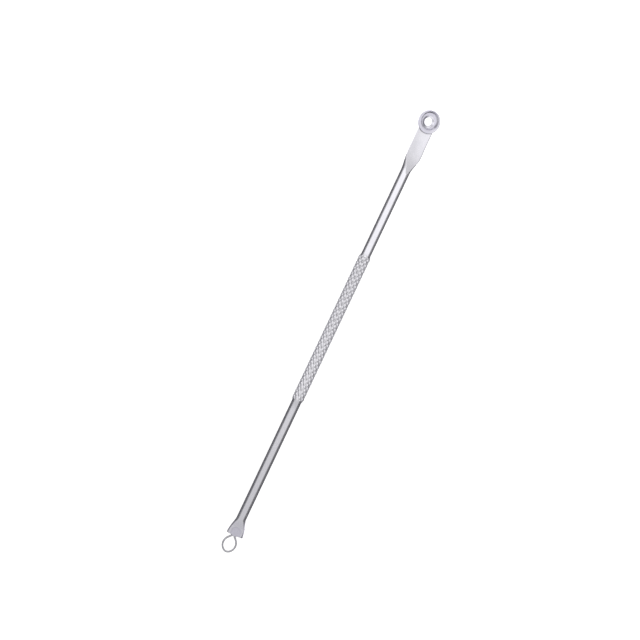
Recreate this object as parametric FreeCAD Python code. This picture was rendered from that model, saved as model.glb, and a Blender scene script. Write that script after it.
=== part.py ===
import FreeCAD, Part

import math
import os

from FreeCAD import Vector

# Comedone extractor lying on a table, in millimetres. The tool runs along X, from the wire loop
# at -X to the dished spoon at +X, and +Z is up. While the pieces are made, X is 0 at the face of
# the flattened end and the shank's axis lies on the X axis.

# Shank
shank_diameter = 2.4
lower_shank_length = 32.3
upper_shank_length = 22.5

# Diamond knurl of the grip
knurl_diameter = 3.04
knurl_depth = 0.24
knurl_starts = 10
knurl_diamond_length = 1.45
knurl_rows = 27
knurl_end_bevel = 0.4

# Flattened end that grips the wire
crimp_length = 4.3
crimp_width = 3.9
crimp_thickness = 1.1
crimp_edge_height = 1.7
crimp_full_thickness_length = 2.2
crimp_corner_radius = 0.4
crimp_nose_radius = 1.1
crimp_nose_reach = 0.29
pinch_mark_width = 2.3
pinch_mark_length = 2.1
pinch_mark_depth = 0.06
# The ramps of the pressed faces run out just above the round rod
crimp_ramp_overrun = 0.01

# Wire loop
wire_diameter = 0.46
loop_width = 3.8
loop_side_radius = 2.1
loop_end_radius = 1.29
loop_neck_angle = 43.0
loop_neck_radius = 0.5
wire_tail_spacing = 0.64
wire_tail_length = 3.0
wire_pocket_clearance = 0.02

# Forged blade between the shank and the dish: it spreads over its first stretch, and its face
# falls on a long ogee from the top of the shank to the level of the dish's rim
blade_length = 11.15
blade_width = 4.1
blade_thickness = 0.8
blade_flare_start = 0.5
blade_flare_length = 4.6
blade_face_height = 0.5
blade_face_fall_length = 9.6

# Pierced dish: a shallow floor inside a steep wall, with a bevelled rim
cup_diameter = 5.9
cup_rim_width = 0.45
cup_rim_bevel = 0.1
cup_rim_thickness = 0.5
dish_wall_height = 0.35
dish_wall_run = 0.2
dish_floor_sag = 0.22
bowl_depth = 0.6
blade_into_bowl = 1.2
hole_diameter = 2.1

# The tool lies on two rows of knurl points with the spoon's face turned this far from level
spoon_roll = 20.0
# The loop's plane is turned about the shank by this much less than the spoon
loop_turn_from_spoon = 11.0

# Derived sizes
shank_radius = shank_diameter / 2
knurl_tip_radius = knurl_diameter / 2
knurl_root_radius = knurl_tip_radius - knurl_depth
wire_radius = wire_diameter / 2
cup_radius = cup_diameter / 2
dish_radius = cup_radius - cup_rim_width
dish_floor_radius = dish_radius - dish_wall_run
hole_radius = hole_diameter / 2

# Derived stations along the tool
lower_shank_start = crimp_length
knurl_start = lower_shank_start + lower_shank_length
knurl_end = knurl_start + knurl_diamond_length * knurl_rows
blade_start = knurl_end + upper_shank_length
flare_start = blade_start + blade_flare_start
flare_end = flare_start + blade_flare_length
face_level_start = blade_start + blade_face_fall_length
cup_center = blade_start + blade_length + cup_radius
tip = cup_center + cup_radius

# Heights in the spoon, over the shank's axis
rim_height = blade_face_height
dish_edge_height = rim_height - cup_rim_bevel
floor_edge_height = dish_edge_height - dish_wall_height
floor_sphere_radius = (dish_floor_radius**2 + dish_floor_sag**2) / (2 * dish_floor_sag)
floor_bottom_height = floor_edge_height - dish_floor_sag
cup_foot_height = rim_height - cup_rim_thickness
bowl_sphere_radius = (cup_radius**2 + bowl_depth**2) / (2 * bowl_depth)
bowl_bottom_height = cup_foot_height - bowl_depth

# Height of the shank's axis over the table: two rows of knurl points touch it
point_row_angle = 180.0 / knurl_starts
axis_height = knurl_tip_radius * math.cos(math.radians(point_row_angle / 2))
loop_roll = spoon_roll - loop_turn_from_spoon

across = max(crimp_width, cup_diameter, knurl_diameter)


def solid_between(sections):
    """A smooth solid through a row of closed sections."""
    return Part.makeLoft(sections, True)


def ellipse_section(x, half_width, half_height, center_height):
    """An upright ellipse across the tool at station x."""
    center = Vector(x, 0, center_height)
    side = center + Vector(0, half_width, 0)
    top = center + Vector(0, 0, half_height)
    return Part.Wire(Part.Ellipse(side, top, center).toShape())


def swept_across(profile, half_width):
    """A closed profile in the XZ plane, given width to both sides of it."""
    face = Part.Face(profile)
    face.translate(Vector(0, -half_width, 0))
    return face.extrude(Vector(0, 2 * half_width, 0))


def revolved(edges):
    """A closed profile in the XZ plane, turned about the Z axis."""
    return Part.Face(Part.Wire(edges)).revolve(Vector(0, 0, 0), Vector(0, 0, 1), 360)


def polyline(points):
    """Straight edges through the points, open."""
    return [Part.LineSegment(a, b).toShape() for a, b in zip(points, points[1:])]


def arc_through(start, middle, end):
    """An arc edge through three points."""
    return Part.Arc(start, middle, end).toShape()


def rolled(shape, angle):
    """The shape, turned about the shank's axis."""
    shape.rotate(Vector(0, 0, 0), Vector(1, 0, 0), angle)
    return shape


def shank():
    """The plain round rod from the flattened end to the blade."""
    length = flare_start - lower_shank_start
    return Part.makeCylinder(shank_radius, length, Vector(lower_shank_start, 0, 0), Vector(1, 0, 0))


def knurl_ring(x, row, tip_radius, root_radius):
    """One ring of the knurl: its points and its valley corners take turns round the rod."""
    ring = []
    for column in range(2 * knurl_starts):
        radius = tip_radius if (column + row) % 2 == 0 else root_radius
        angle = math.radians((column + 0.5) * point_row_angle)
        ring.append(Vector(x, radius * math.cos(angle), radius * math.sin(angle)))
    return ring


def knurl():
    """Crossed left and right hand grooves leave rows of four-sided points. Each cell between two
    rings is split along the valley that runs through its two corners."""
    last_row = 2 * knurl_rows
    inner_radius = shank_radius - knurl_depth / 2
    rings = [knurl_ring(knurl_start - knurl_end_bevel, 0, inner_radius, inner_radius)]
    for row in range(last_row + 1):
        x = knurl_start + row * knurl_diamond_length / 2
        rings.append(knurl_ring(x, row, knurl_tip_radius, knurl_root_radius))
    rings.append(knurl_ring(knurl_end + knurl_end_bevel, 0, inner_radius, inner_radius))

    faces = [Part.Face(Part.makePolygon(rings[0] + rings[0][:1]))]
    faces.append(Part.Face(Part.makePolygon(rings[-1] + rings[-1][:1])))
    columns = 2 * knurl_starts
    for level, (near, far) in enumerate(zip(rings, rings[1:])):
        for column in range(columns):
            after = (column + 1) % columns
            corners = [near[column], near[after], far[after], far[column]]
            if (column + level) % 2 == 0:
                corners = corners[1:] + corners[:1]
            for triangle in (corners[:3], corners[2:] + corners[:1]):
                faces.append(Part.Face(Part.makePolygon(triangle + triangle[:1])))
    skin = Part.makeShell(faces)
    skin.sewShape()
    return Part.Solid(skin)


def crimp_flare(fraction):
    """How far the end has spread, from 1 at its face to 0 where the rod is round again."""
    return (1 - fraction**2) ** 1.5


def crimp_blank():
    """The rod's end, spread sideways and flattened, before the jaws set its faces."""
    steps = 6
    sections = []
    for step in range(steps + 1):
        fraction = step / steps
        spread = crimp_flare(fraction)
        half_width = shank_radius + (crimp_width / 2 - shank_radius) * spread
        half_height = shank_radius + (crimp_edge_height / 2 - shank_radius) * spread
        sections.append(ellipse_section(crimp_length * fraction, half_width, half_height, 0))
    return solid_between(sections)


def crimp_nose():
    """Metal pushed out over the wires, past the face of the flattened end and as thick as it."""
    center = Vector(crimp_nose_radius - crimp_nose_reach, 0, -crimp_thickness / 2)
    return Part.makeCylinder(crimp_nose_radius, crimp_thickness, center)


def crimp_outline():
    """What the flattened end may fill, seen from above, with its corners rounded."""
    half = crimp_width / 2
    radius = crimp_corner_radius
    bulge = radius * (1 - math.sqrt(0.5))
    back = crimp_length
    corners = []
    for side in (1, -1):
        start = Vector(radius, side * half, 0)
        middle = Vector(bulge, side * (half - bulge), 0)
        end = Vector(0, side * (half - radius), 0)
        corners.append((start, middle, end))
    (a, b, c), (d, e, f) = corners
    edges = [arc_through(a, b, c)]
    edges += polyline([c, f])
    edges.append(arc_through(f, e, d))
    edges += polyline([d, Vector(back, -half, 0), Vector(back, half, 0), a])
    face = Part.Face(Part.Wire(edges))
    face.translate(Vector(0, 0, -shank_radius))
    return face.extrude(Vector(0, 0, 2 * shank_radius))


def press_jaws():
    """The space above and below the flattened end, with a ramp up to the round rod."""
    half = crimp_thickness / 2
    ramp_top = shank_radius + crimp_ramp_overrun
    jaws = []
    for side in (1, -1):
        points = [
            Vector(-crimp_width, 0, side * half),
            Vector(crimp_full_thickness_length, 0, side * half),
            Vector(crimp_length, 0, side * ramp_top),
            Vector(crimp_length, 0, side * crimp_width),
            Vector(-crimp_width, 0, side * crimp_width),
        ]
        jaws.append(swept_across(Part.Wire(polyline(points + points[:1])), crimp_width))
    return jaws


def pinch_marks():
    """A shallow flat with a round end, pressed over the wires from both sides."""
    half = pinch_mark_width / 2
    depth = 2 * pinch_mark_depth
    marks = []
    for side in (1, -1):
        base = side * crimp_thickness / 2 - pinch_mark_depth
        straight = pinch_mark_length - half + crimp_width
        slot = Part.makeBox(straight, 2 * half, depth, Vector(-crimp_width, -half, base))
        end = Part.makeCylinder(half, depth, Vector(pinch_mark_length - half, 0, base))
        marks.append(slot.fuse(end))
    return marks


def crimp():
    """The flattened end, trimmed and pressed, before the wire goes in."""
    end = crimp_blank().common(crimp_outline()).fuse(crimp_nose())
    return end.cut(press_jaws()).cut(pinch_marks())


def wire_path():
    """Half of the wire's centre line, from its tail to the loop's far end, as arcs and lines, and
    its mirror. The neck leaves the tail on a bend, runs straight, and turns into the side arc."""
    neck = math.radians(loop_neck_angle)
    tail_y = wire_tail_spacing / 2
    half_width = (loop_width - wire_diameter) / 2
    side_y = half_width - loop_side_radius

    bend_end = Vector(0, tail_y, 0)
    bend_center = bend_end + Vector(0, loop_neck_radius, 0)
    bend_start = bend_center + Vector(-math.sin(neck), -math.cos(neck), 0) * loop_neck_radius
    bend_middle = bend_center + Vector(-math.sin(neck / 2), -math.cos(neck / 2), 0) * loop_neck_radius

    side_top_y = side_y + loop_side_radius * math.cos(neck)
    neck_run = (side_top_y - bend_start.y) / math.tan(neck)
    side_top = Vector(bend_start.x - neck_run, side_top_y, 0)
    side_center = Vector(side_top.x - loop_side_radius * math.sin(neck), side_y, 0)
    widest = side_center + Vector(0, loop_side_radius, 0)

    reach = loop_side_radius - loop_end_radius
    end_center = Vector(side_center.x - math.sqrt(reach**2 - side_y**2), 0, 0)
    outward = (end_center - side_center).normalize()
    side_end = side_center + outward * loop_side_radius
    far_end = end_center - Vector(loop_end_radius, 0, 0)
    mirrored = Vector(side_end.x, -side_end.y, 0)

    tail = Vector(wire_tail_length, tail_y, 0)
    half = [
        Part.LineSegment(tail, bend_end).toShape(),
        arc_through(bend_end, bend_middle, bend_start),
        Part.LineSegment(bend_start, side_top).toShape(),
        arc_through(side_top, widest, side_end),
    ]
    other_half = [edge.mirror(Vector(0, 0, 0), Vector(0, 1, 0)) for edge in half]
    turn = arc_through(side_end, far_end, mirrored)
    return Part.Wire(Part.__sortEdges__(half + [turn] + other_half))


def wire_solid(radius):
    """Round wire along the loop's path."""
    tail_end = Vector(wire_tail_length, wire_tail_spacing / 2, 0)
    section = Part.Wire(Part.makeCircle(radius, tail_end, Vector(1, 0, 0)))
    return wire_path().makePipeShell([section], True, True)


def blade_blank():
    """The forging under the blade's face: ellipses that grow wider, thinner and higher as the
    spread rises smoothly from 0 at the shank to 1 at the blade's full width."""
    steps = 6
    sections = []
    for step in range(steps + 1):
        fraction = step / steps
        spread = fraction**2 * (3 - 2 * fraction)
        x = flare_start + blade_flare_length * fraction
        half_width = shank_radius + (blade_width / 2 - shank_radius) * spread
        half_height = shank_radius + (blade_thickness - shank_radius) * spread
        sections.append(ellipse_section(x, half_width, half_height, blade_face_height * spread))
    taper = solid_between(sections)
    blade_end = cup_center - cup_radius + blade_into_bowl
    flat = Part.Face(sections[-1]).extrude(Vector(blade_end - flare_end, 0, 0))
    return taper.fuse(flat)


def blade_face_space():
    """The space above the blade's face, which falls from the shank's top on two equal arcs."""
    start = Vector(blade_start, 0, shank_radius)
    end = Vector(face_level_start, 0, blade_face_height)
    drop = start.z - end.z
    arc_radius = (blade_face_fall_length**2 + drop**2) / (4 * drop)
    half_turn = math.asin(blade_face_fall_length / 2 / arc_radius) / 2
    reach = arc_radius * math.sin(half_turn)
    fall = arc_radius * (1 - math.cos(half_turn))
    turning_point = (start + end) / 2
    edges = [
        arc_through(start, start + Vector(reach, 0, -fall), turning_point),
        arc_through(turning_point, end + Vector(-reach, 0, fall), end),
    ]
    outside = tip + cup_radius
    corners = [
        end,
        Vector(outside, 0, blade_face_height),
        Vector(outside, 0, across),
        Vector(blade_start, 0, across),
        start,
    ]
    return swept_across(Part.Wire(edges + polyline(corners)), across)


def cap_profile(edge_radius, bottom_height, sphere_radius):
    """A sphere's arc in the XZ plane, from its lowest point on the axis to the edge radius."""
    def point(radius):
        rise = sphere_radius - math.sqrt(sphere_radius**2 - radius**2)
        return Vector(radius, 0, bottom_height + rise)
    return arc_through(point(0), point(edge_radius / 2), point(edge_radius))


def bowl():
    """The pressed dish's outside: a shallow sphere below, turned up into an upright rim."""
    underside = cap_profile(cup_radius, bowl_bottom_height, bowl_sphere_radius)
    corners = [
        Vector(cup_radius, 0, cup_foot_height),
        Vector(cup_radius, 0, rim_height),
        Vector(0, 0, rim_height),
        Vector(0, 0, bowl_bottom_height),
    ]
    return revolved([underside] + polyline(corners))


def dish_space():
    """What the die presses out: the dish with its steep wall, the bevels on both sides of the
    rim's crest, and the fine groove that parts the rim from the blade's face."""
    floor = cap_profile(dish_floor_radius, floor_bottom_height, floor_sphere_radius)
    corners = [
        Vector(dish_floor_radius, 0, floor_edge_height),
        Vector(dish_radius, 0, dish_edge_height),
        Vector(dish_radius + cup_rim_bevel, 0, rim_height),
        Vector(cup_radius - cup_rim_bevel, 0, rim_height),
        Vector(cup_radius, 0, dish_edge_height),
        Vector(cup_radius + cup_rim_bevel, 0, rim_height),
        Vector(cup_radius + cup_rim_bevel, 0, across),
        Vector(0, 0, across),
        Vector(0, 0, floor_bottom_height),
    ]
    return revolved([floor] + polyline(corners))


def spoon_hole():
    """The hole through the dish."""
    return Part.makeCylinder(hole_radius, 2 * across, Vector(0, 0, -across))


def spoon():
    """The blade and the pierced dish, facing straight up."""
    place = Vector(cup_center, 0, 0)
    dish_parts = [bowl(), dish_space(), spoon_hole()]
    for part in dish_parts:
        part.translate(place)
    outside, space, hole = dish_parts
    forged = blade_blank().cut(blade_face_space())
    return forged.fuse(outside).cut([space, hole])


def handle_and_spoon():
    """The whole rod, from the flattened end to the dish."""
    pockets = wire_solid(wire_radius + wire_pocket_clearance)
    flattened_end = rolled(crimp().cut(pockets), loop_roll)
    return shank().fuse([knurl(), rolled(spoon(), spoon_roll), flattened_end])


def wire_loop():
    """The sprung wire, with both tails in the flattened end."""
    return rolled(wire_solid(wire_radius), loop_roll)


def main():
    """Place both pieces with the tool's middle over the origin and save them."""
    loop = wire_loop()
    handle = handle_and_spoon()
    far_end = loop.optimalBoundingBox(False).XMin
    middle = (far_end + tip) / 2
    os.makedirs("parts", exist_ok=True)
    for name, shape in (("handle_and_spoon", handle), ("wire_loop", loop)):
        shape.translate(Vector(-middle, 0, axis_height))
        shape.exportStep(f"parts/{name}.step")
        box = shape.BoundBox
        print(name, shape.ShapeType, len(shape.Solids), shape.isValid(), round(shape.Volume, 3), box)


main()
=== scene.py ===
import math

import bmesh
import bpy
import numpy as np
from mathutils import Matrix, Vector


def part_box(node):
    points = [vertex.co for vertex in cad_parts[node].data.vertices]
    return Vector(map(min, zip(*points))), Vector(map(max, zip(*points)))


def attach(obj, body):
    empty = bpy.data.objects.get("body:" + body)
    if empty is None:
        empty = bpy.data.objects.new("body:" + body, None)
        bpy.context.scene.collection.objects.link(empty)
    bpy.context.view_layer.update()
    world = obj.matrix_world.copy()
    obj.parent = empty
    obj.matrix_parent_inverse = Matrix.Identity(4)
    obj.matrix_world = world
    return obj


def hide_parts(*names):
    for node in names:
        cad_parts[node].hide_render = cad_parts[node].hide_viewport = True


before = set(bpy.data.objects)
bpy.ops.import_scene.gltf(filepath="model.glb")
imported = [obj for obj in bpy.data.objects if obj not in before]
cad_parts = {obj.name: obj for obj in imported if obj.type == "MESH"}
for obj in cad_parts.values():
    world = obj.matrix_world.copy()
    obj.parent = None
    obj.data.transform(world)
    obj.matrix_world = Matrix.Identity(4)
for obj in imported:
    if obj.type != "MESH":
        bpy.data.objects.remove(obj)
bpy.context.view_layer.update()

millimetre = 0.001
tiny = 1e-6                      # mm, far below any size here

# Sizes here and below are in mm, and places along the tool start at the flattened end's face
tool = {
    "shankRadius": 1.2,
    "crimpLength": 4.3,
    "knurlStart": 36.6,
    "knurlEnd": 75.75,
    "bladeStart": 98.25,
    "cupCenter": 112.35,
    "cupRadius": 2.95,
    "tip": 115.3,
    "spoonRoll": 20.0,           # degrees about the shank, as the tool lies on its knurl
    "loopRoll": 9.0,
}

meshing = {
    "mergeDistance": 0.0004,
    "sharpAngle": 38.0,          # degrees: edges that turn more than this stay crisp
}

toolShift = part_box("handle_and_spoon")[1].x / millimetre - tool["tip"]
axisHeight = (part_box("wire_loop")[0].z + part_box("wire_loop")[1].z) / 2 / millimetre
print("frame loaded, axis height", round(axisHeight, 3), "mm")


def smoothStep(low, high, value):
    # 0 below low, 1 above high, and the curve 3t^2 - 2t^3 between them
    t = np.clip((value - low) / (high - low), 0, 1)
    return t * t * (3 - 2 * t)


def toFrame(x, y, z):
    # millimetres in the tool's own axes to metres in the shared frame: (x + shift, y, z + axis)
    place = np.stack(np.broadcast_arrays(x + toolShift, y, z + axisHeight), axis=-1)
    return place * millimetre


def rolled(y, z, degrees):
    # turned about the shank by an angle a for each point: (y cos a - z sin a, y sin a + z cos a)
    turn = np.radians(degrees)
    return y * np.cos(turn) - z * np.sin(turn), y * np.sin(turn) + z * np.cos(turn)


def gridFaces(rows, columns, closedRows=False):
    # four-sided faces of a grid whose columns close on themselves. Point (row, column) has the
    # number row * columns + column, and a face joins it to the next ones in both directions.
    row = np.arange(rows if closedRows else rows - 1)[:, None]
    column = np.arange(columns)[None, :]
    nextRow = (row + 1) % rows
    nextColumn = (column + 1) % columns
    corners = [
        row * columns + column,
        row * columns + nextColumn,
        nextRow * columns + nextColumn,
        nextRow * columns + column,
    ]
    return np.stack(np.broadcast_arrays(*corners), axis=-1).reshape(-1, 4)


def makePiece(name, parts, material, bodyName, nodes):
    # parts are (points, faces, finishes) and become one mesh with merged seams and outward faces.
    # Finishes are arrays from 0 to 1, one value a point, that the material reads by their names.
    grids, faces, finishes = zip(*parts)
    starts = np.cumsum([0] + [grid.size // 3 for grid in grids[:-1]])
    allPoints = np.concatenate([grid.reshape(-1, 3) for grid in grids])
    allFaces = np.concatenate([quads + start for quads, start in zip(faces, starts)])
    mesh = bpy.data.meshes.new(name)
    mesh.from_pydata(allPoints, [], allFaces.tolist())
    for finish in finishes[0]:
        shares = [
            np.broadcast_to(own[finish], grid.shape[:2]).ravel()
            for own, grid in zip(finishes, grids)
        ]
        layer = mesh.attributes.new(finish, "FLOAT", "POINT")
        layer.data.foreach_set("value", np.concatenate(shares).astype(np.float32))
    shape = bmesh.new()
    shape.from_mesh(mesh)
    bmesh.ops.remove_doubles(shape, verts=shape.verts, dist=meshing["mergeDistance"] * millimetre)
    bmesh.ops.recalc_face_normals(shape, faces=shape.faces)
    shape.to_mesh(mesh)
    shape.free()
    mesh.shade_smooth()
    mesh.set_sharp_from_angle(angle=math.radians(meshing["sharpAngle"]))
    mesh.materials.append(material)
    piece = bpy.data.objects.new(name, mesh)
    bpy.context.scene.collection.objects.link(piece)
    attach(piece, bodyName)
    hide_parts(*nodes)
    print(name, len(mesh.polygons), "faces")


# Materials

# sockets of the Mix node: its share, then the two inputs and the output for colours and numbers
mixShare = 0
mixColor = {"first": 6, "second": 7, "result": 2}
mixNumber = {"first": 2, "second": 3, "result": 0}


def linearColor(hexCode):
    # sRGB hex to linear: below 0.04045 divided by 12.92, above it ((c + 0.055) / 1.055)^2.4
    parts = [int(hexCode[i:i + 2], 16) / 255 for i in (0, 2, 4)]
    return [c / 12.92 if c <= 0.04045 else ((c + 0.055) / 1.055) ** 2.4 for c in parts] + [1.0]


def addNode(tree, kind, settings=None, inputs=None, links=None):
    # a node with its settings, its plain input values, and its links given as output sockets
    node = tree.nodes.new(kind)
    for name, value in (settings or {}).items():
        setattr(node, name, value)
    for name, value in (inputs or {}).items():
        node.inputs[name].default_value = value
    for name, socket in (links or {}).items():
        tree.links.new(socket, node.inputs[name])
    return node


def newMaterial(name):
    # an empty node material and its tree
    material = bpy.data.materials.new(name)
    material.use_nodes = True
    tree = material.node_tree
    tree.nodes.clear()
    return material, tree


# Stainless bar, ground and then buffed. The buff leaves a soft mirror with a faint lavender cast,
# fine marks along the bar, and slightly cloudy patches where it was handled.
steel = {
    "color": "dcdbe0",
    "cloudColor": "d0cfd6",
    "cloudSize": 6.0,
    "cloudDetail": 3.0,
    "cloudBreakUp": 0.6,         # how strong the cloud's finer detail is
    "cloudRange": (0.3, 0.7),    # the cloud's values between which the roughness spreads
    "markSpacing": 0.09,         # real marks lie under 0.02 apart: drawn this coarse so they show
    "markLength": 5.0,
    "markDetail": 2.0,
    "markDepth": 0.0009,
    "waveSize": 1.3,             # the buff's soft waves
    "waveDetail": 1.0,
    "waveDepth": 0.009,
    "roughness": 0.2,
    "roughnessSpread": 0.07,
    # where the mesh says so: the rolls' grain on the knurl, the punch's duller skin, and painted shade
    # in grooves, along an edge and on one side of the dish. Each is a colour and a roughness.
    "finishes": {
        # the knurl's rougher grain is real, and its lighter colour is a painted sheen for its glints
        "knurled": ("ebeaef", 0.28),
        "pressed": ("c9c7d3", 0.27),
        # painted shade: a dark grey, rougher too, where shade falls
        "unbuffed": ("6f6d78", 0.42),
    },
}


def polishedSteel(name, recipe):
    # colour and roughness follow one cloud, each finish of the mesh is mixed over them by its
    # share, and the bump is the drawing marks with the waves on top
    material, tree = newMaterial(name)
    place = addNode(tree, "ShaderNodeTexCoord")
    cloud = addNode(
        tree, "ShaderNodeTexNoise",
        inputs={
            "Scale": 1 / (recipe["cloudSize"] * millimetre),
            "Detail": recipe["cloudDetail"],
            "Roughness": recipe["cloudBreakUp"],
        },
        links={"Vector": place.outputs["Object"]},
    )
    stretch = recipe["markSpacing"] / recipe["markLength"]
    along = addNode(
        tree, "ShaderNodeMapping",
        inputs={"Scale": (stretch, 1.0, 1.0)},
        links={"Vector": place.outputs["Object"]},
    )
    marks = addNode(
        tree, "ShaderNodeTexNoise",
        inputs={"Scale": 1 / (recipe["markSpacing"] * millimetre), "Detail": recipe["markDetail"]},
        links={"Vector": along.outputs["Vector"]},
    )
    waves = addNode(
        tree, "ShaderNodeTexNoise",
        inputs={"Scale": 1 / (recipe["waveSize"] * millimetre), "Detail": recipe["waveDetail"]},
        links={"Vector": place.outputs["Object"]},
    )
    color = addNode(
        tree, "ShaderNodeMix", {"data_type": "RGBA"},
        {
            mixColor["first"]: linearColor(recipe["color"]),
            mixColor["second"]: linearColor(recipe["cloudColor"]),
        },
        {mixShare: cloud.outputs["Fac"]},
    )
    roughness = addNode(
        tree, "ShaderNodeMapRange", {},
        {
            "From Min": recipe["cloudRange"][0],
            "From Max": recipe["cloudRange"][1],
            "To Min": recipe["roughness"] - recipe["roughnessSpread"] / 2,
            "To Max": recipe["roughness"] + recipe["roughnessSpread"] / 2,
        },
        {"Value": cloud.outputs["Fac"]},
    )
    colorNow = color.outputs[mixColor["result"]]
    roughnessNow = roughness.outputs["Result"]
    for finish, (finishColor, finishRoughness) in recipe["finishes"].items():
        share = addNode(tree, "ShaderNodeAttribute", {"attribute_name": finish})
        color = addNode(
            tree, "ShaderNodeMix", {"data_type": "RGBA"},
            {mixColor["second"]: linearColor(finishColor)},
            {mixShare: share.outputs["Fac"], mixColor["first"]: colorNow},
        )
        roughness = addNode(
            tree, "ShaderNodeMix", {},
            {mixNumber["second"]: finishRoughness},
            {mixShare: share.outputs["Fac"], mixNumber["first"]: roughnessNow},
        )
        colorNow = color.outputs[mixColor["result"]]
        roughnessNow = roughness.outputs[mixNumber["result"]]
    under = {}
    for pattern, depth in ((marks, recipe["markDepth"]), (waves, recipe["waveDepth"])):
        bump = addNode(
            tree, "ShaderNodeBump", {},
            {"Strength": 1.0, "Distance": depth * millimetre},
            {"Height": pattern.outputs["Fac"], **under},
        )
        under = {"Normal": bump.outputs["Normal"]}
    surface = addNode(
        tree, "ShaderNodeBsdfPrincipled", {},
        {"Metallic": 1.0},
        {"Base Color": colorNow, "Roughness": roughnessNow, **under},
    )
    addNode(tree, "ShaderNodeOutputMaterial", links={"Surface": surface.outputs["BSDF"]})
    return material


barSteel = polishedSteel("polishedStainlessBar", steel)

# Stainless spring wire, drawn through a die: duller than the bar, with lines along the wire,
# which are drawn coarser than real ones too
wireSteel = polishedSteel("drawnSpringWire", dict(
    steel, color="c4c3c8", cloudColor="a6a5ac", cloudSize=1.5, roughness=0.3,
    markSpacing=0.05, markDepth=0.0008, finishes={},
))
print("materials made")


# The rod, from the flattened end to the blade

body = {
    "rings": {"front": 15, "crimp": 48, "lower": 14, "upper": 12, "flare": 56, "flat": 48},
    "columnsPerShare": 30,       # four shares: right side, top, left side, bottom
    "shankMargin": 1.0,          # this far from a shank's ends nothing turns
    "edgeRound": 0.1,
    "roundFade": 0.2,            # a cut shallower than this has a smaller round
    "steepestCorner": 88.0,      # degrees: where the rod has no flat, its corners stop here

    # the flattened end
    "frontReach": 1.0,           # rings nearer the face than this follow its outline
    "crimpWidth": 3.9,
    "crimpThickness": 1.1,
    "crimpEdgeHeight": 1.7,      # height of the squeezed rod before the jaws' flats cut it
    "crimpFlat": 2.2,            # length of the full flat
    "rampOverrun": 0.01,         # how far over the shank the jaws' ramps end
    "spreadPower": 1.5,          # how late the rod spreads towards the face
    "crimpFuller": 0.5,          # how much further the flat reaches on its -Y side
    "fullerPower": 0.7,
    "cornerRadius": 0.4,
    "noseRadius": 1.1,
    "noseReach": 0.29,
    "capRings": 4,
    "capFade": 0.3,              # a face lower than this at its ends has a smaller round there
    "pinchWidth": 2.3,
    "pinchLength": 2.1,
    "pinchDepth": 0.06,
    "pinchSlope": 0.12,          # half the width of the mark's sloping edge

    # the knurl
    "knurlTipRadius": 1.52,
    "knurlDepth": 0.24,
    "knurlStarts": 10,
    "knurlDiamond": 1.45,        # length of a diamond
    "knurlRingsPerDiamond": 12,
    "knurlPhase": 0.25,          # share of a diamond's width from the tool's side to a point
    "knurlCrest": 0.94,          # share of the grooves' depth at which the points are flat
    "knurlBevel": 0.4,
    # how deep the second wheel pressed, as a share, at the loop's end and at the spoon's end
    "secondDepth": (0.72, 0.97),

    # the blade
    "flareStart": 98.75,
    "flareEnd": 103.35,
    "bladeHalfWidth": 2.05,
    "bladeThickness": 0.8,       # from the face down to the round back
    "faceHeight": 0.5,
    "faceFall": 9.6,             # length over which the face falls
    "faceHollow": 0.05,          # how much lower the face's middle is than its edges
    "grooveBevel": 0.1,          # between the blade and the dish
    "rootInset": 0.02,           # how far in the blade's last rings lie from the dish's outside
    "rootStep": 0.15,
    "rootDepth": 1.2,
    "rootHeights": (-0.35, -0.1),
    "rootMiddle": -0.2,

    # shares of the finishes
    "crimpDull": 0.4,            # the punch's dull skin on the flat
    "crimpDullRise": 3.0,        # how much faster it sets in than the rod spreads
    "pinchDull": 0.6,            # how much more of it in the pinch mark
    "grooveShade": 0.3,           # painted shade in the knurl's grooves
    "edgeShade": 0.3,             # and painted shade along the face's -Y edge
    "edgeWidth": 0.35,
}


def crimpShare(x):
    # 1 at the flattened end's face and 0 from its other end on: 1 - (x / length)^2
    return 1 - np.clip(x / tool["crimpLength"], 0, 1)**2


def alongShanks(x):
    # a smooth step from 0 to 1 along each of the round shanks
    margin = body["shankMargin"]
    lower = smoothStep(tool["crimpLength"] + margin, tool["knurlStart"] - margin, x)
    upper = smoothStep(tool["knurlEnd"] + margin, tool["bladeStart"] - margin, x)
    return lower, upper


def bladeFaceHeight(x):
    # the face leaves the shank's top at a crisp edge and levels out:
    # z = level + drop (1 - t)^2, with t from 0 at the edge to 1 where it is level
    drop = tool["shankRadius"] - body["faceHeight"]
    t = np.clip((x - tool["bladeStart"]) / body["faceFall"], 0, 1)
    return body["faceHeight"] + drop * (1 - t)**2


def crimpFrontLine(y):
    # the outline of the flattened end seen from above: a nose, a straight face, round corners.
    # Nose and corners are arcs: x = center - sqrt(radius^2 - y^2)
    side = np.abs(y)
    center = body["noseRadius"] - body["noseReach"]
    nose = center - np.sqrt(np.clip(body["noseRadius"]**2 - side**2, 0, None))
    cornerY = np.clip(side - (body["crimpWidth"] / 2 - body["cornerRadius"]), 0, body["cornerRadius"])
    corner = body["cornerRadius"] - np.sqrt(body["cornerRadius"]**2 - cornerY**2)
    return np.where(side < body["noseRadius"], np.minimum(nose, corner), corner)


def pinchMark(x, y):
    # depth of the flat with a round end that the jaws pressed over the wires: a smooth step of
    # the distance from its outline, hypot(past the round's center, y) - half the width
    half = body["pinchWidth"] / 2
    past = np.clip(x - (body["pinchLength"] - half), 0, None)
    away = np.sqrt(past**2 + y**2) - half
    return body["pinchDepth"] * smoothStep(body["pinchSlope"], -body["pinchSlope"], away)


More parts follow.
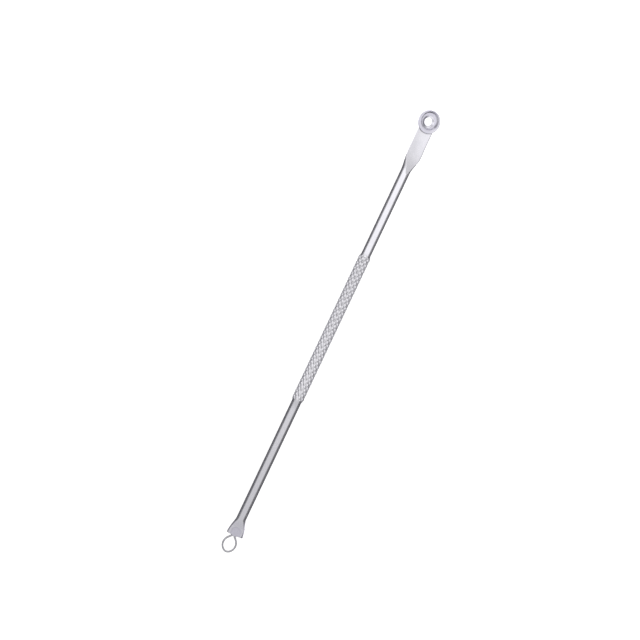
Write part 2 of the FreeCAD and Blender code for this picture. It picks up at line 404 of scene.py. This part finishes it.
def knurlHeight(x, angle):
    # 1 on the points and 0 in the grooves: the lower of two triangle waves that cross, one for
    # each hand of groove, 1 - 2 |t - nearest whole number|, with t = turns times starts, plus or
    # minus diamonds. The second wheel pressed a little less deep, more so towards the loop.
    cells = angle * body["knurlStarts"] / (2 * math.pi) - body["knurlPhase"]
    along = (x - tool["knurlStart"]) / body["knurlDiamond"]
    first = cells + along
    second = cells - along
    firstWave = 1 - 2 * np.abs(first - np.round(first))
    secondWave = 1 - 2 * np.abs(second - np.round(second))
    low, high = body["secondDepth"]
    depth = low + (high - low) * smoothStep(tool["knurlStart"], tool["knurlEnd"], x)
    secondWave = 1 - depth * (1 - secondWave)
    return np.minimum(np.minimum(firstWave, secondWave) / body["knurlCrest"], 1)


def bodyStations():
    # each ring's place along the tool: even steps in each stretch, and shared ends counted once
    rings = body["rings"]
    knurlLength = tool["knurlEnd"] - tool["knurlStart"]
    knurlSteps = round(knurlLength / body["knurlDiamond"] * body["knurlRingsPerDiamond"])
    grooveStart = tool["cupCenter"] - tool["cupRadius"] - body["grooveBevel"]
    stretches = [
        (0.0, body["frontReach"], rings["front"]),
        (body["frontReach"], tool["crimpLength"], rings["crimp"]),
        (tool["crimpLength"], tool["knurlStart"] - body["knurlBevel"], rings["lower"]),
        (tool["knurlStart"], tool["knurlEnd"], knurlSteps + 1),
        (tool["knurlEnd"] + body["knurlBevel"], tool["bladeStart"], rings["upper"]),
        (tool["bladeStart"], body["flareEnd"], rings["flare"]),
        (body["flareEnd"], grooveStart, rings["flat"]),
    ]
    return np.unique(np.concatenate([np.linspace(*stretch) for stretch in stretches]))


def bodyRings(x):
    # what each ring starts from: the ellipse center + (width cos a, height sin a), the heights
    # at which the jaws and the face cut it, the cuts' rounds, and the corner angles at which
    # they meet it, arcsin(height of the cut over the center / half-height)
    radius = tool["shankRadius"]
    crimpSpread = crimpShare(x) ** body["spreadPower"]
    bladeSpread = smoothStep(body["flareStart"], body["flareEnd"], x)
    width = radius + (body["crimpWidth"] / 2 - radius) * crimpSpread
    width = width + (body["bladeHalfWidth"] - radius) * bladeSpread
    height = radius + (body["crimpEdgeHeight"] / 2 - radius) * crimpSpread
    height = height + (body["bladeThickness"] - radius) * bladeSpread
    center = body["faceHeight"] * bladeSpread

    # on a bare shank the cuts lie clear of the rod
    half = body["crimpThickness"] / 2
    clear = 2 * radius
    opened = (x - body["crimpFlat"]) / (tool["crimpLength"] - body["crimpFlat"])
    ramp = half + (radius + body["rampOverrun"] - half) * np.clip(opened, 0, 1)
    atCrimp = x < tool["crimpLength"] + tiny
    atBlade = x > tool["bladeStart"]
    topCut = np.where(atCrimp, ramp, np.where(atBlade, bladeFaceHeight(x), clear))
    bottomCut = np.where(atCrimp, -ramp, -clear)
    topRound = body["edgeRound"] * np.clip((center + height - topCut) / body["roundFade"], 0, 1)
    bottomRound = body["edgeRound"] * np.clip((bottomCut - center + height) / body["roundFade"], 0, 1)

    # the corners go over to an even 45 degrees along the shanks, for the knurl
    steepest = math.sin(math.radians(body["steepestCorner"]))
    topCorner = np.arcsin(np.clip((topCut - topRound - center) / height, -1, steepest))
    bottomCorner = np.arcsin(np.clip((center - bottomCut - bottomRound) / height, -1, steepest))
    lower, upper = alongShanks(x)
    even = lower - upper
    evenCorner = math.pi / 4
    topCorner = topCorner + (evenCorner - topCorner) * even
    bottomCorner = bottomCorner + (evenCorner - bottomCorner) * lower
    return {
        "width": width, "height": height, "center": center,
        "topCut": topCut, "bottomCut": bottomCut, "topRound": topRound, "bottomRound": bottomRound,
        "topCorner": topCorner, "bottomCorner": bottomCorner, "squeeze": 1 - even,
        "crimpSpread": crimpSpread, "bladeSpread": bladeSpread,
    }


def ringAngles(top, bottom, squeeze):
    # angles of one ring's columns. Each share runs evenly between its corners, and where squeeze
    # is 1 the flats' columns gather at their edges: angle = arccos(cos(corner) cos(pi t))
    share = body["columnsPerShare"]
    t = np.arange(share)[None, :] / share
    right = -bottom + (top + bottom) * t
    left = math.pi - top + (top + bottom) * t
    upEven = top + (math.pi - 2 * top) * t
    upTight = np.arccos(np.cos(top) * np.cos(math.pi * t))
    downEven = math.pi + bottom + (math.pi - 2 * bottom) * t
    downTight = math.pi + np.arccos(np.cos(bottom) * np.cos(math.pi * t))
    up = upEven + (upTight - upEven) * squeeze
    down = downEven + (downTight - downEven) * squeeze
    return np.concatenate([right, up, left, down], axis=1)


def edgeDrop(y, edge, rounding):
    # how far a cut drops over the quarter circle along its edge: rounding (1 - sqrt(1 - t^2)),
    # with t from 0 where the round starts to 1 at the edge
    t = np.clip((np.abs(y) - edge + rounding) / np.maximum(rounding, tiny), 0, 1)
    return rounding * (1 - np.sqrt(1 - t**2))


def bodySurface():
    # the rings with the knurl's points raised and the cuts taken off:
    # z = min(center + height sin a, top) on top, and max(the same, bottom) underneath
    x = bodyStations()[:, None]
    ring = bodyRings(x)
    angle = ringAngles(ring["topCorner"], ring["bottomCorner"], ring["squeeze"])

    # the knurl stands over the rod and its ends are bevelled at 45 degrees
    inKnurl = (x > tool["knurlStart"] - tiny) & (x < tool["knurlEnd"] + tiny)
    raised = knurlHeight(x, angle)
    root = body["knurlTipRadius"] - body["knurlDepth"]
    fromEnd = np.minimum(x - tool["knurlStart"], tool["knurlEnd"] - x)
    knurled = np.minimum(root + body["knurlDepth"] * raised, root + fromEnd)
    width = np.where(inKnurl, knurled, ring["width"])
    height = np.where(inKnurl, knurled, ring["height"])
    y = width * np.cos(angle)
    z = ring["center"] + height * np.sin(angle)

    # rings near the crimp's face follow its outline, and rings near the dish follow its circle
    place = x + crimpFrontLine(y) * np.clip(1 - x / body["frontReach"], 0, 1)
    end = body["flareEnd"]
    grooveRadius = tool["cupRadius"] + body["grooveBevel"]
    circle = tool["cupCenter"] - np.sqrt(grooveRadius**2 - y**2)
    follow = np.clip((x - end) / (x[-1] - end), 0, 1)
    place = np.where(x > end, end + (circle - end) * follow, place)

    # the cuts, with the pinch mark in both flats and the hollow in the face
    across = np.clip(y / body["bladeHalfWidth"], -1, 1)
    hollow = body["faceHollow"] * ring["bladeSpread"] * (1 - across**2)
    pinch = pinchMark(place, y)
    topCut = np.where(x > tool["bladeStart"], bladeFaceHeight(place), ring["topCut"])
    topEdge = width * np.cos(ring["topCorner"])
    bottomEdge = width * np.cos(ring["bottomCorner"])
    top = topCut - pinch - hollow - edgeDrop(y, topEdge, ring["topRound"])
    bottom = ring["bottomCut"] + pinch + edgeDrop(y, bottomEdge, ring["bottomRound"])
    share = body["columnsPerShare"]
    column = np.arange(4 * share)[None, :]
    onTop = (column >= share) & (column <= 2 * share)
    onBottom = (column >= 3 * share) | (column == 0)
    z = np.where(onTop, np.minimum(z, top), z)
    z = np.where(onBottom, np.maximum(z, bottom), z)

    # the jaws squeezed more metal out to one side
    fuller = body["crimpFuller"] * crimpShare(x) ** body["fullerPower"]
    y = np.where(y < 0, y * (1 + fuller / width), y)

    crimped = body["crimpDull"] * np.minimum(1, body["crimpDullRise"] * ring["crimpSpread"])
    pinched = body["pinchDull"] * pinch / body["pinchDepth"] * (onTop | onBottom)
    # painted shade: darker in the knurl's grooves
    groove = body["grooveShade"] * np.where(inKnurl, 1 - raised, 0)**2
    # painted shade in a band along the face's -Y edge
    inside = topEdge - body["edgeWidth"]
    edge = body["edgeShade"] * smoothStep(inside, inside + body["edgeWidth"] / 2, -y)
    finishes = {
        "knurled": np.where(inKnurl, 1.0, 0.0),
        "pressed": crimped + pinched,
        "unbuffed": groove + edge * ring["bladeSpread"],
    }
    return place, y, z, finishes


def crimpCap(place, y, z):
    # rings that close the crimp's face, from its middle line out over a quarter circle:
    # round (1 - sin t) back from the face and round (1 - cos t) in, with t from 90 degrees to 0
    turn = np.radians(np.linspace(90, 0, body["capRings"]))[:, None]
    outer = np.maximum(np.abs(z[0]), tiny)
    inset = body["edgeRound"] * (1 - np.cos(turn)) * np.clip(outer / body["capFade"], 0, 1)
    ringX = place[0] + body["edgeRound"] * (1 - np.sin(turn))
    ringY = np.broadcast_to(y[0], ringX.shape)
    ringZ = z[0] * np.clip(1 - inset / outer, 0, 1)
    capX = np.concatenate([place[:1], ringX])
    capY = np.concatenate([y[:1], ringY])
    capZ = np.concatenate([0 * z[:1], ringZ])
    return capX, capY, capZ


def bladeRoot(y, z):
    # rings that carry the blade's end through the groove and into the dish's wall, then close it.
    # The first two lie on circles about the dish: x = center - sqrt(radius^2 - y^2)
    edgeY, edgeZ = y[-1], z[-1]
    outer = tool["cupRadius"] - body["rootInset"]
    inner = tool["cupRadius"] - body["rootStep"]
    lastX = np.full_like(edgeY, tool["cupCenter"] - tool["cupRadius"] + body["rootDepth"])
    ringX = np.stack([
        tool["cupCenter"] - np.sqrt(outer**2 - edgeY**2),
        tool["cupCenter"] - np.sqrt(inner**2 - edgeY**2),
        lastX,
        lastX,
    ])
    ringY = np.stack([edgeY, edgeY, edgeY, 0 * edgeY])
    ringZ = np.stack([
        np.minimum(edgeZ, body["faceHeight"] - body["grooveBevel"]),
        np.minimum(edgeZ, 0.0),
        np.clip(edgeZ, *body["rootHeights"]),
        np.full_like(edgeZ, body["rootMiddle"]),
    ])
    return ringX, ringY, ringZ


def toolBody():
    # cap, rings and root as one grid. Both ends are turned about the rod, and the turn evens out
    # along the round shanks: roll = loop's (1 - lower share) + spoon's upper share
    place, y, z, finishes = bodySurface()
    capX, capY, capZ = crimpCap(place, y, z)
    rootX, rootY, rootZ = bladeRoot(y, z)
    keep = slice(2, None)        # the cap's round takes the place of the first two rings
    x = np.concatenate([capX, place[keep], rootX])
    y = np.concatenate([capY, y[keep], rootY])
    z = np.concatenate([capZ, z[keep], rootZ])
    shares = {}
    for finish, values in finishes.items():
        values = np.broadcast_to(values, place.shape)
        capValues = np.repeat(values[:1], len(capX), axis=0)
        shares[finish] = np.concatenate([capValues, values[keep], np.zeros_like(rootX)])
    lower, upper = alongShanks(x)
    y, z = rolled(y, z, tool["loopRoll"] * (1 - lower) + tool["spoonRoll"] * upper)
    points = toFrame(x, y, z)
    return points, gridFaces(*points.shape[:2]), shares


# The pierced dish

cup = {
    "columns": 192,
    "arcSteps": 5,               # points on each rounded corner of the section
    "floorSteps": 5,
    "bowlSteps": 15,

    # the section: heights are over the rod's axis, and its outer radius is tool's cupRadius
    "rimHeight": 0.5,
    "rimWidth": 0.58,
    "rimBevel": 0.1,
    "rimThickness": 0.5,
    "wallHeight": 0.56,
    "wallRun": 0.36,
    "floorSag": 0.03,
    "sinkRadius": 1.52,          # the punch drew the floor down round the hole
    "sinkDepth": 0.16,
    "lipRadius": 1.2,
    "holeRadius": 1.05,
    "bowlDepth": 0.6,

    # the rounds of its corners
    "holeRound": 0.05,
    "lipRound": 0.06,
    "sinkRound": 0.12,
    "footRound": 0.1,
    "crestRound": 0.03,
    "bevelRound": 0.04,
    "bowlRound": 0.12,
    "smoothRound": 0.01,         # between the short runs of floor and bowl

    # how the punch came down nearer the tip
    "dishShift": 0.3,
    "sinkFade": 0.8,             # share of the sink's depth that is missing towards the tip
    "tipSpan": (0.3, 0.95),      # cosines of the angle from the tip between which it fades

    # shares of the finishes, painted shade and painted highlight among them, and where they start and
    # end
    "wallShade": 0.8,             # painted shade on the wall, on one side
    "shadeSide": -0.1,            # radians: how far that side lies from -Y
    "shadeSpan": (0.85, 0.99),    # cosines of the angle from it, where the painted shade starts and is full
    "unpressedShare": 0.9,            # share of the pressed tone taken off the steep walls, and off the rim's -Y side and the sink as a painted highlight
    # painted shade on the sink's +Y side
    "sinkShade": 0.5,
    "sideSpan": (0.2, 0.9),      # the same for the sink's painted shade from +Y and the rim's painted highlight from -Y
    "footBlend": 0.12,
    "crestBlend": 0.06,
    "sinkBlend": 0.1,
    "holeBlend": 0.05,
    "belowFloor": 0.1,           # the underside starts this far below the floor or the sink
}

rimInside = tool["cupRadius"] - cup["rimWidth"]
floorEdge = rimInside - cup["wallRun"]
floorHeight = cup["rimHeight"] - cup["wallHeight"]


def capHeight(radius, edgeRadius, depth, edgeHeight):
    # height of a shallow sphere that is depth lower at its middle than at edgeRadius:
    # z = edge - depth + sphere - sqrt(sphere^2 - r^2), where the sphere's radius is
    # (edge radius^2 + depth^2) / (2 depth)
    sphere = (edgeRadius**2 + depth**2) / (2 * depth)
    return edgeHeight - depth + sphere - np.sqrt(sphere**2 - radius**2)


def curveCorners(radii, heights, firstRound, lastRound):
    # a curve's points as corners (radius, height, round), with rounds of their own at its ends
    rounds = np.full(len(radii), cup["smoothRound"])
    rounds[0], rounds[-1] = firstRound, lastRound
    return list(zip(radii, heights, rounds))


def roundedProfile(corners, steps):
    # a closed outline whose corners are quadratic curves that start round away from each corner:
    # (1 - t)^2 start + 2t (1 - t) corner + t^2 end
    corners, rounds = np.split(np.array(corners, float), [2], axis=1)
    before = np.roll(corners, 1, axis=0) - corners
    after = np.roll(corners, -1, axis=0) - corners
    startAt = corners + before / np.linalg.norm(before, axis=1, keepdims=True) * rounds
    endAt = corners + after / np.linalg.norm(after, axis=1, keepdims=True) * rounds
    t = np.linspace(0, 1, steps)[None, :, None]
    curve = (1 - t)**2 * startAt[:, None] + 2 * t * (1 - t) * corners[:, None] + t**2 * endAt[:, None]
    return curve.reshape(-1, 2)


def cupProfile():
    # (radius, height) round the dish's section: from the hole over its lip, the sink, the floor,
    # the wall and the rim, and back under the bowl, floor and bowl being shallow spheres
    crest = cup["rimHeight"]
    outside = tool["cupRadius"]
    floorR = np.linspace(cup["sinkRadius"], floorEdge, cup["floorSteps"])
    floorZ = capHeight(floorR, floorEdge, cup["floorSag"], floorHeight)
    bowlR = np.linspace(outside, cup["holeRadius"], cup["bowlSteps"])
    bowlZ = capHeight(bowlR, outside, cup["bowlDepth"], crest - cup["rimThickness"])
    lipZ = floorZ[0] - cup["sinkDepth"]
    corners = [
        (cup["holeRadius"], lipZ, cup["holeRound"]),
        (cup["lipRadius"], lipZ, cup["lipRound"]),
        *curveCorners(floorR, floorZ, cup["sinkRound"], cup["footRound"]),
        (rimInside, crest, cup["crestRound"]),
        (outside - cup["rimBevel"], crest, cup["bevelRound"]),
        (outside, crest - cup["rimBevel"], cup["bevelRound"]),
        *curveCorners(bowlR, bowlZ, cup["bowlRound"], cup["bevelRound"]),
    ]
    return roundedProfile(corners, cup["arcSteps"])


def cupFinishes(radius, height, turn):
    # each share is a product of smooth steps of the radius and of the angle from one side. Painted
    # shade darkens the wall on its -Y side and the sink on the hole's +Y side. The pressed tone is
    # taken off the steep walls, and a painted highlight lightens the rim's -Y side and the sink away
    # from +Y.
    wall = smoothStep(floorEdge - cup["footBlend"], floorEdge + cup["wallRun"] / 2, radius)
    wall = wall * smoothStep(rimInside + cup["crestBlend"], rimInside - cup["crestBlend"], radius)
    wall = wall * (height > floorHeight - cup["belowFloor"])
    sinkEdge, blend = cup["sinkRadius"], cup["sinkBlend"]
    sink = smoothStep(sinkEdge + blend, sinkEdge - blend, radius)
    sink = sink * smoothStep(cup["holeRadius"] + cup["holeBlend"], cup["lipRadius"], radius)
    sink = sink * (height > floorHeight - cup["sinkDepth"] - cup["belowFloor"])
    rim = smoothStep(rimInside, rimInside + cup["rimBevel"], radius)
    rim = rim * (height > cup["rimHeight"] - cup["rimBevel"])
    # painted shade on one side of the wall and of the sink, and painted highlight on the other side
    away = smoothStep(*cup["shadeSpan"], np.sin(cup["shadeSide"] - turn))
    behind = smoothStep(*cup["sideSpan"], np.sin(turn))
    before = smoothStep(*cup["sideSpan"], -np.sin(turn))
    # lighter: the steep walls, and a painted highlight on the rim's -Y side and the sink away from +Y
    bright = np.maximum(wall, np.maximum(sink * (1 - behind), rim * before))
    return {
        "knurled": 0 * radius,
        "pressed": 1 - cup["unpressedShare"] * bright,
        "unbuffed": cup["wallShade"] * wall * away + cup["sinkShade"] * sink * behind,
    }


def cupSurface():
    # the section turned about the spoon's own axis: center + radius (cos a, sin a). The punch
    # came down nearer the tip, so the floor's edge and the wall lie dishShift further out there,
    # and the sink is shallower.
    profile = cupProfile()
    radius = profile[:, :1]
    height = profile[:, 1:]
    turn = np.arange(cup["columns"])[None, :] / cup["columns"] * 2 * math.pi
    onTop = np.arange(len(profile))[:, None] < np.argmax(radius > tool["cupRadius"] - tiny)
    shifted = smoothStep(cup["sinkRadius"], floorEdge, radius) * onTop
    shifted = shifted * smoothStep(tool["cupRadius"] - cup["rimBevel"], rimInside, radius)
    sunk = np.clip((floorHeight - cup["floorSag"] - height) / cup["sinkDepth"], 0, 1) * onTop
    towardsTip = smoothStep(*cup["tipSpan"], np.cos(turn))
    x = tool["cupCenter"] + radius * np.cos(turn) + cup["dishShift"] * shifted
    formed = height + cup["sinkDepth"] * cup["sinkFade"] * sunk * towardsTip
    y, z = rolled(radius * np.sin(turn), formed, tool["spoonRoll"])
    points = toFrame(x, y, z)
    faces = gridFaces(*points.shape[:2], closedRows=True)
    return points, faces, cupFinishes(radius, height, turn)


makePiece(
    "handle", [toolBody(), cupSurface()], barSteel, "root", ["handle_and_spoon"])


# The wire loop

wire = {
    "diameter": 0.46,
    "loopWidth": 3.8,
    "sideRadius": 2.1,
    "endRadius": 1.29,
    "neckAngle": 43.0,           # degrees by which each side opens from the tool's line
    "neckRadius": 0.5,
    "tailSpacing": 0.64,
    "tailLength": 3.0,
    "tailStart": 0.1,            # each tail's last point before the bend, just inside the face
    "points": {"tail": 6, "neck": 9, "side": 40, "end": 20},
    "columns": 28,
}


def arcLine(center, radius, start, end, count):
    # points of an arc: center + radius (sin a, cos a)
    a = np.linspace(start, end, count)
    return np.stack([center[0] + radius * np.sin(a), center[1] + radius * np.cos(a)], axis=1)


def wireLine():
    # half of the loop, then its mirror: a straight tail, the neck's bend, a straight run, the side
    # arc and the end arc. Each starts the way the last one ends, so the end arc's center lies at
    # x = side center x - sqrt((side radius - end radius)^2 - side center y^2)
    neck = math.radians(wire["neckAngle"])
    tailY = wire["tailSpacing"] / 2
    sideR, endR, neckR = wire["sideRadius"], wire["endRadius"], wire["neckRadius"]
    count = wire["points"]
    tailX = np.linspace(wire["tailLength"], wire["tailStart"], count["tail"])
    tail = np.stack([tailX, np.full_like(tailX, tailY)], axis=1)
    bend = arcLine((0, tailY + neckR), neckR, math.pi, math.pi + neck, count["neck"])
    sideY = (wire["loopWidth"] - wire["diameter"]) / 2 - sideR
    topY = sideY + sideR * math.cos(neck)
    topX = bend[-1, 0] - (topY - bend[-1, 1]) / math.tan(neck)
    sideCenter = (topX - sideR * math.sin(neck), sideY)
    endX = sideCenter[0] - math.sqrt((sideR - endR)**2 - sideY**2)
    meet = math.atan2(endX - sideCenter[0], -sideY)
    side = arcLine(sideCenter, sideR, neck, meet, count["side"])
    end = arcLine((endX, 0), endR, meet, -math.pi / 2, count["end"])
    half = np.concatenate([tail, bend, side, end[1:]])
    mirrored = half[-2::-1] * [1, -1]
    return np.concatenate([half, mirrored])


def wireSurface():
    # a circle carried along the line, square to it, with both ends closed:
    # line + radius cos a (-ahead y, ahead x), and radius sin a upwards
    line = wireLine()
    ahead = np.gradient(line, axis=0)
    ahead /= np.linalg.norm(ahead, axis=1, keepdims=True)
    turn = np.arange(wire["columns"])[None, :] / wire["columns"] * 2 * math.pi
    radius = np.full((len(line), 1), wire["diameter"] / 2)
    line = np.concatenate([line[:1], line, line[-1:]])
    ahead = np.concatenate([ahead[:1], ahead, ahead[-1:]])
    radius = np.concatenate([[[0.0]], radius, [[0.0]]])
    x = line[:, :1] - ahead[:, 1:] * radius * np.cos(turn)
    y = line[:, 1:] + ahead[:, :1] * radius * np.cos(turn)
    y, z = rolled(y, radius * np.sin(turn), tool["loopRoll"])
    points = toFrame(x, y, z)
    return points, gridFaces(*points.shape[:2]), {}


makePiece("wireLoop", [wireSurface()], wireSteel, "root", ["wire_loop"])


# Camera, light tent and table

studio = {
    "viewTilt": 5.0,             # degrees from straight down, towards +Y
    "toolTurn": 25.3,            # degrees from the picture's up to the tool, clockwise
    "fieldWidth": 157.4,         # mm across the picture at the tool's axis
    "pictureWidth": 640,         # pixels
    "middleRight": 9.7,          # pixels from the picture's middle to the tool's middle
    "middleDown": 11.5,
    "lens": 200.0,
    "sensor": 36.0,
    "clip": (0.05, 5.0),         # m

    # the tent
    "tentRadius": 300.0,
    "tentRings": 25,
    "tentColumns": 72,
    "clothAngle": 45.0,          # degrees from the camera's direction: full brightness inside it
    "hemAngle": 78.0,
    "tentBright": 1.0,
    "tentDark": 0.2,
    "overLoop": 0.78,            # how bright the tent is over the loop, and over the spoon
    "overSpoon": 1.42,
    "spoonRise": (-70.0, 50.0, 0.0, 1.0),        # mm along X, and the share at either end
    "spoonFall": (65.0, 150.0, 1.0, 0.0),
    "endRise": (170.0, 240.0, 0.0, 0.95),

    # the cards
    "darkCard": "7a7a7e",
    "greyCard": "a2a2a6",
    "paleCard": "c2c2c6",
    "palestCard": "d4d4d8",
    "cardReach": 100.0,
    "cardLift": 0.02,
    "cardLap": 0.5,              # how far the dark cards stop short of the knurl, and the left
    "rightLap": 0.1,             # and right ones reach under the flattened end
    "loopLap": 0.2,              # the loop's card stops this far before the face
    "bladeLap": 3.0,             # and the upper card reaches this far under the blade

    "tableGlow": 0.66,
    "tableColor": "e8e8e8",
    "tableReach": 1200.0,
    "roomColor": "e6e6ea",
    "roomGlow": 0.9,
}

viewTilt = math.radians(studio["viewTilt"])
toolTurn = math.radians(studio["toolTurn"])
towardsCamera = Vector((0, math.sin(viewTilt), math.cos(viewTilt)))
alongTool = Vector((1, 0, 0))
leftOfTool = towardsCamera.cross(alongTool)
pictureUp = math.cos(toolTurn) * alongTool + math.sin(toolTurn) * leftOfTool
pictureRight = math.sin(toolTurn) * alongTool - math.cos(toolTurn) * leftOfTool


def addCamera():
    # far enough away that the field is fieldWidth wide: distance = field * lens / sensor
    data = bpy.data.cameras.new("photoCamera")
    data.lens = studio["lens"]
    data.sensor_width = studio["sensor"]
    data.clip_start, data.clip_end = studio["clip"]
    camera = bpy.data.objects.new("photoCamera", data)
    bpy.context.scene.collection.objects.link(camera)
    pixel = studio["fieldWidth"] / studio["pictureWidth"]
    aim = Vector((0, 0, axisHeight))
    aim += (studio["middleDown"] * pictureUp - studio["middleRight"] * pictureRight) * pixel
    distance = studio["fieldWidth"] * data.lens / data.sensor_width
    place = Matrix.Translation((aim + towardsCamera * distance) * millimetre)
    rotation = Matrix((pictureRight, pictureUp, towardsCamera)).transposed()
    camera.matrix_world = place @ rotation.to_4x4()
    bpy.context.scene.camera = camera


def addStage(name, points, faces, material, hiddenFrom=()):
    # a mesh that isn't part of the object, hidden from some kinds of rays
    mesh = bpy.data.meshes.new(name)
    mesh.from_pydata(points, [], faces)
    mesh.materials.append(material)
    piece = bpy.data.objects.new(name, mesh)
    bpy.context.scene.collection.objects.link(piece)
    for rays in hiddenFrom:
        setattr(piece, "visible_" + rays, False)


def addRectangle(name, along, across, height, material, hiddenFrom=()):
    # a level rectangle between two places along the frame's X and two along its Y, all in mm
    (startX, endX), (startY, endY) = along, across
    corners = [(startX, startY), (endX, startY), (endX, endY), (startX, endY)]
    points = [(x * millimetre, y * millimetre, height * millimetre) for x, y in corners]
    addStage(name, points, [(0, 1, 2, 3)], material, hiddenFrom)


def tentMaterial():
    # white cloth lit from outside. It is bright round the camera and dark under its hem, by the
    # angle from the camera across the tool, and brighter over the spoon than over the loop, by
    # the place along X: rise times fall, plus the bright end wall.
    material, tree = newMaterial("lightTentCloth")
    place = addNode(tree, "ShaderNodeTexCoord")
    across = addNode(
        tree, "ShaderNodeVectorMath", {"operation": "MULTIPLY"},
        {1: (0.0, 1.0, 1.0)}, {0: place.outputs["Object"]},
    )
    unit = addNode(
        tree, "ShaderNodeVectorMath", {"operation": "NORMALIZE"}, {},
        {0: across.outputs["Vector"]},
    )
    facing = addNode(
        tree, "ShaderNodeVectorMath", {"operation": "DOT_PRODUCT"},
        {1: towardsCamera}, {0: unit.outputs["Vector"]},
    )
    cover = addNode(
        tree, "ShaderNodeMapRange", {"interpolation_type": "SMOOTHSTEP"},
        {
            "From Min": math.cos(math.radians(studio["hemAngle"])),
            "From Max": math.cos(math.radians(studio["clothAngle"])),
            "To Min": studio["tentDark"],
            "To Max": studio["tentBright"],
        },
        {"Value": facing.outputs["Value"]},
    )
    along = addNode(tree, "ShaderNodeSeparateXYZ", links={0: place.outputs["Object"]})
    shares = {}
    for step, name in enumerate(("spoonRise", "spoonFall", "endRise")):
        start, end, low, high = studio[name]
        share = addNode(
            tree, "ShaderNodeMapRange", {"interpolation_type": "SMOOTHSTEP"},
            {
                "From Min": start * millimetre,
                "From Max": end * millimetre,
                "To Min": low,
                "To Max": high,
            },
            {"Value": along.outputs["X"]},
        )
        shares[step] = share.outputs["Result"]
    over = addNode(tree, "ShaderNodeMath", {"operation": "MULTIPLY_ADD"}, {}, shares)
    glow = addNode(
        tree, "ShaderNodeMapRange", {},
        {"To Min": studio["overLoop"], "To Max": studio["overSpoon"]},
        {"Value": over.outputs["Value"]},
    )
    strength = addNode(
        tree, "ShaderNodeMath", {"operation": "MULTIPLY"}, {},
        {0: cover.outputs["Result"], 1: glow.outputs["Result"]},
    )
    light = addNode(tree, "ShaderNodeEmission", links={"Strength": strength.outputs["Value"]})
    addNode(tree, "ShaderNodeOutputMaterial", links={"Surface": light.outputs["Emission"]})
    return material


def addTent():
    # half a sphere over the tool: radius (cos a cos b, cos a sin b, sin a)
    ring = np.radians(np.linspace(0, 90, studio["tentRings"]))[:, None]
    turn = np.radians(np.linspace(0, 360, studio["tentColumns"], endpoint=False))[None, :]
    radius = studio["tentRadius"] * millimetre
    x = radius * np.cos(ring) * np.cos(turn)
    y = radius * np.cos(ring) * np.sin(turn)
    z = radius * np.sin(ring)
    points = np.stack(np.broadcast_arrays(x, y, z), axis=-1)
    faces = gridFaces(*points.shape[:2])
    addStage("lightTent", points.reshape(-1, 3), faces.tolist(), tentMaterial(), ("camera", "shadow"))


def tableMaterial():
    # matt white laminate. It glows a little for the eye and for reflections, so that it stays
    # white round the tool, and the rest of its light is diffuse and keeps the tool's shadow.
    material, tree = newMaterial("mattWhiteTable")
    rays = addNode(tree, "ShaderNodeLightPath")
    seen = rays.outputs["Is Camera Ray"]
    for kind in ("Is Glossy Ray", "Is Transmission Ray"):
        either = addNode(
            tree, "ShaderNodeMath", {"operation": "MAXIMUM"}, {}, {0: seen, 1: rays.outputs[kind]})
        seen = either.outputs["Value"]
    strength = addNode(
        tree, "ShaderNodeMath", {"operation": "MULTIPLY"}, {1: studio["tableGlow"]}, {0: seen})
    glow = addNode(tree, "ShaderNodeEmission", links={"Strength": strength.outputs["Value"]})
    paint = addNode(tree, "ShaderNodeBsdfDiffuse", inputs={"Color": linearColor(studio["tableColor"])})
    both = addNode(
        tree, "ShaderNodeAddShader", links={0: glow.outputs["Emission"], 1: paint.outputs["BSDF"]})
    addNode(tree, "ShaderNodeOutputMaterial", links={"Surface": both.outputs["Shader"]})
    return material


def addTable():
    # a square table, wider than the tent
    span = (-studio["tableReach"], studio["tableReach"])
    addRectangle("table", span, span, 0.0, tableMaterial())


def addCards():
    # strips of matt card on the table, as are laid for polished steel: dark ones under the smooth
    # shanks draw their dark edges, and grey and pale ones temper the loop, the flattened end and
    # the knurl. Only reflections show them. Each is its name, its colour, its span along the tool
    # and its span across it.
    hiddenFrom = ("camera", "diffuse", "shadow")
    lap = studio["cardLap"]
    crimp = tool["crimpLength"] - lap
    knurl = (tool["knurlStart"] - lap, tool["knurlEnd"] + lap)
    left, right = (0, studio["cardReach"]), (-studio["cardReach"], 0)
    wide = (right[0], left[1])
    cards = [
        ("lowerLeftCard", "darkCard", (crimp, knurl[0]), left),
        ("lowerRightCard", "darkCard", (tool["crimpLength"] - studio["rightLap"], knurl[0]), right),
        ("crimpCard", "greyCard", (-studio["loopLap"], crimp), left),
        ("upperCard", "darkCard", (knurl[1], tool["bladeStart"] + studio["bladeLap"]), wide),
        ("knurlLeftCard", "paleCard", knurl, left),
        ("knurlRightCard", "palestCard", knurl, right),
        ("loopCard", "greyCard", (-studio["cardReach"], -studio["loopLap"]), wide),
    ]
    for name, color, along, across in cards:
        material, tree = newMaterial(name + "Paper")
        paint = addNode(tree, "ShaderNodeBsdfDiffuse", inputs={"Color": linearColor(studio[color])})
        addNode(tree, "ShaderNodeOutputMaterial", links={"Surface": paint.outputs["BSDF"]})
        alongFrame = [end + toolShift for end in along]
        addRectangle(name, alongFrame, across, studio["cardLift"], material, hiddenFrom)


def addWorld():
    # the pale room outside the tent
    world = bpy.data.worlds.new("studioRoom")
    world.use_nodes = True
    tree = world.node_tree
    tree.nodes.clear()
    light = addNode(
        tree, "ShaderNodeBackground", {},
        {"Color": linearColor(studio["roomColor"]), "Strength": studio["roomGlow"]},
    )
    addNode(tree, "ShaderNodeOutputWorld", links={"Surface": light.outputs["Background"]})
    bpy.context.scene.world = world


addCamera()
addTable()
addTent()
addCards()
addWorld()
bpy.context.scene.view_settings.view_transform = "Standard"
print("camera and light set")
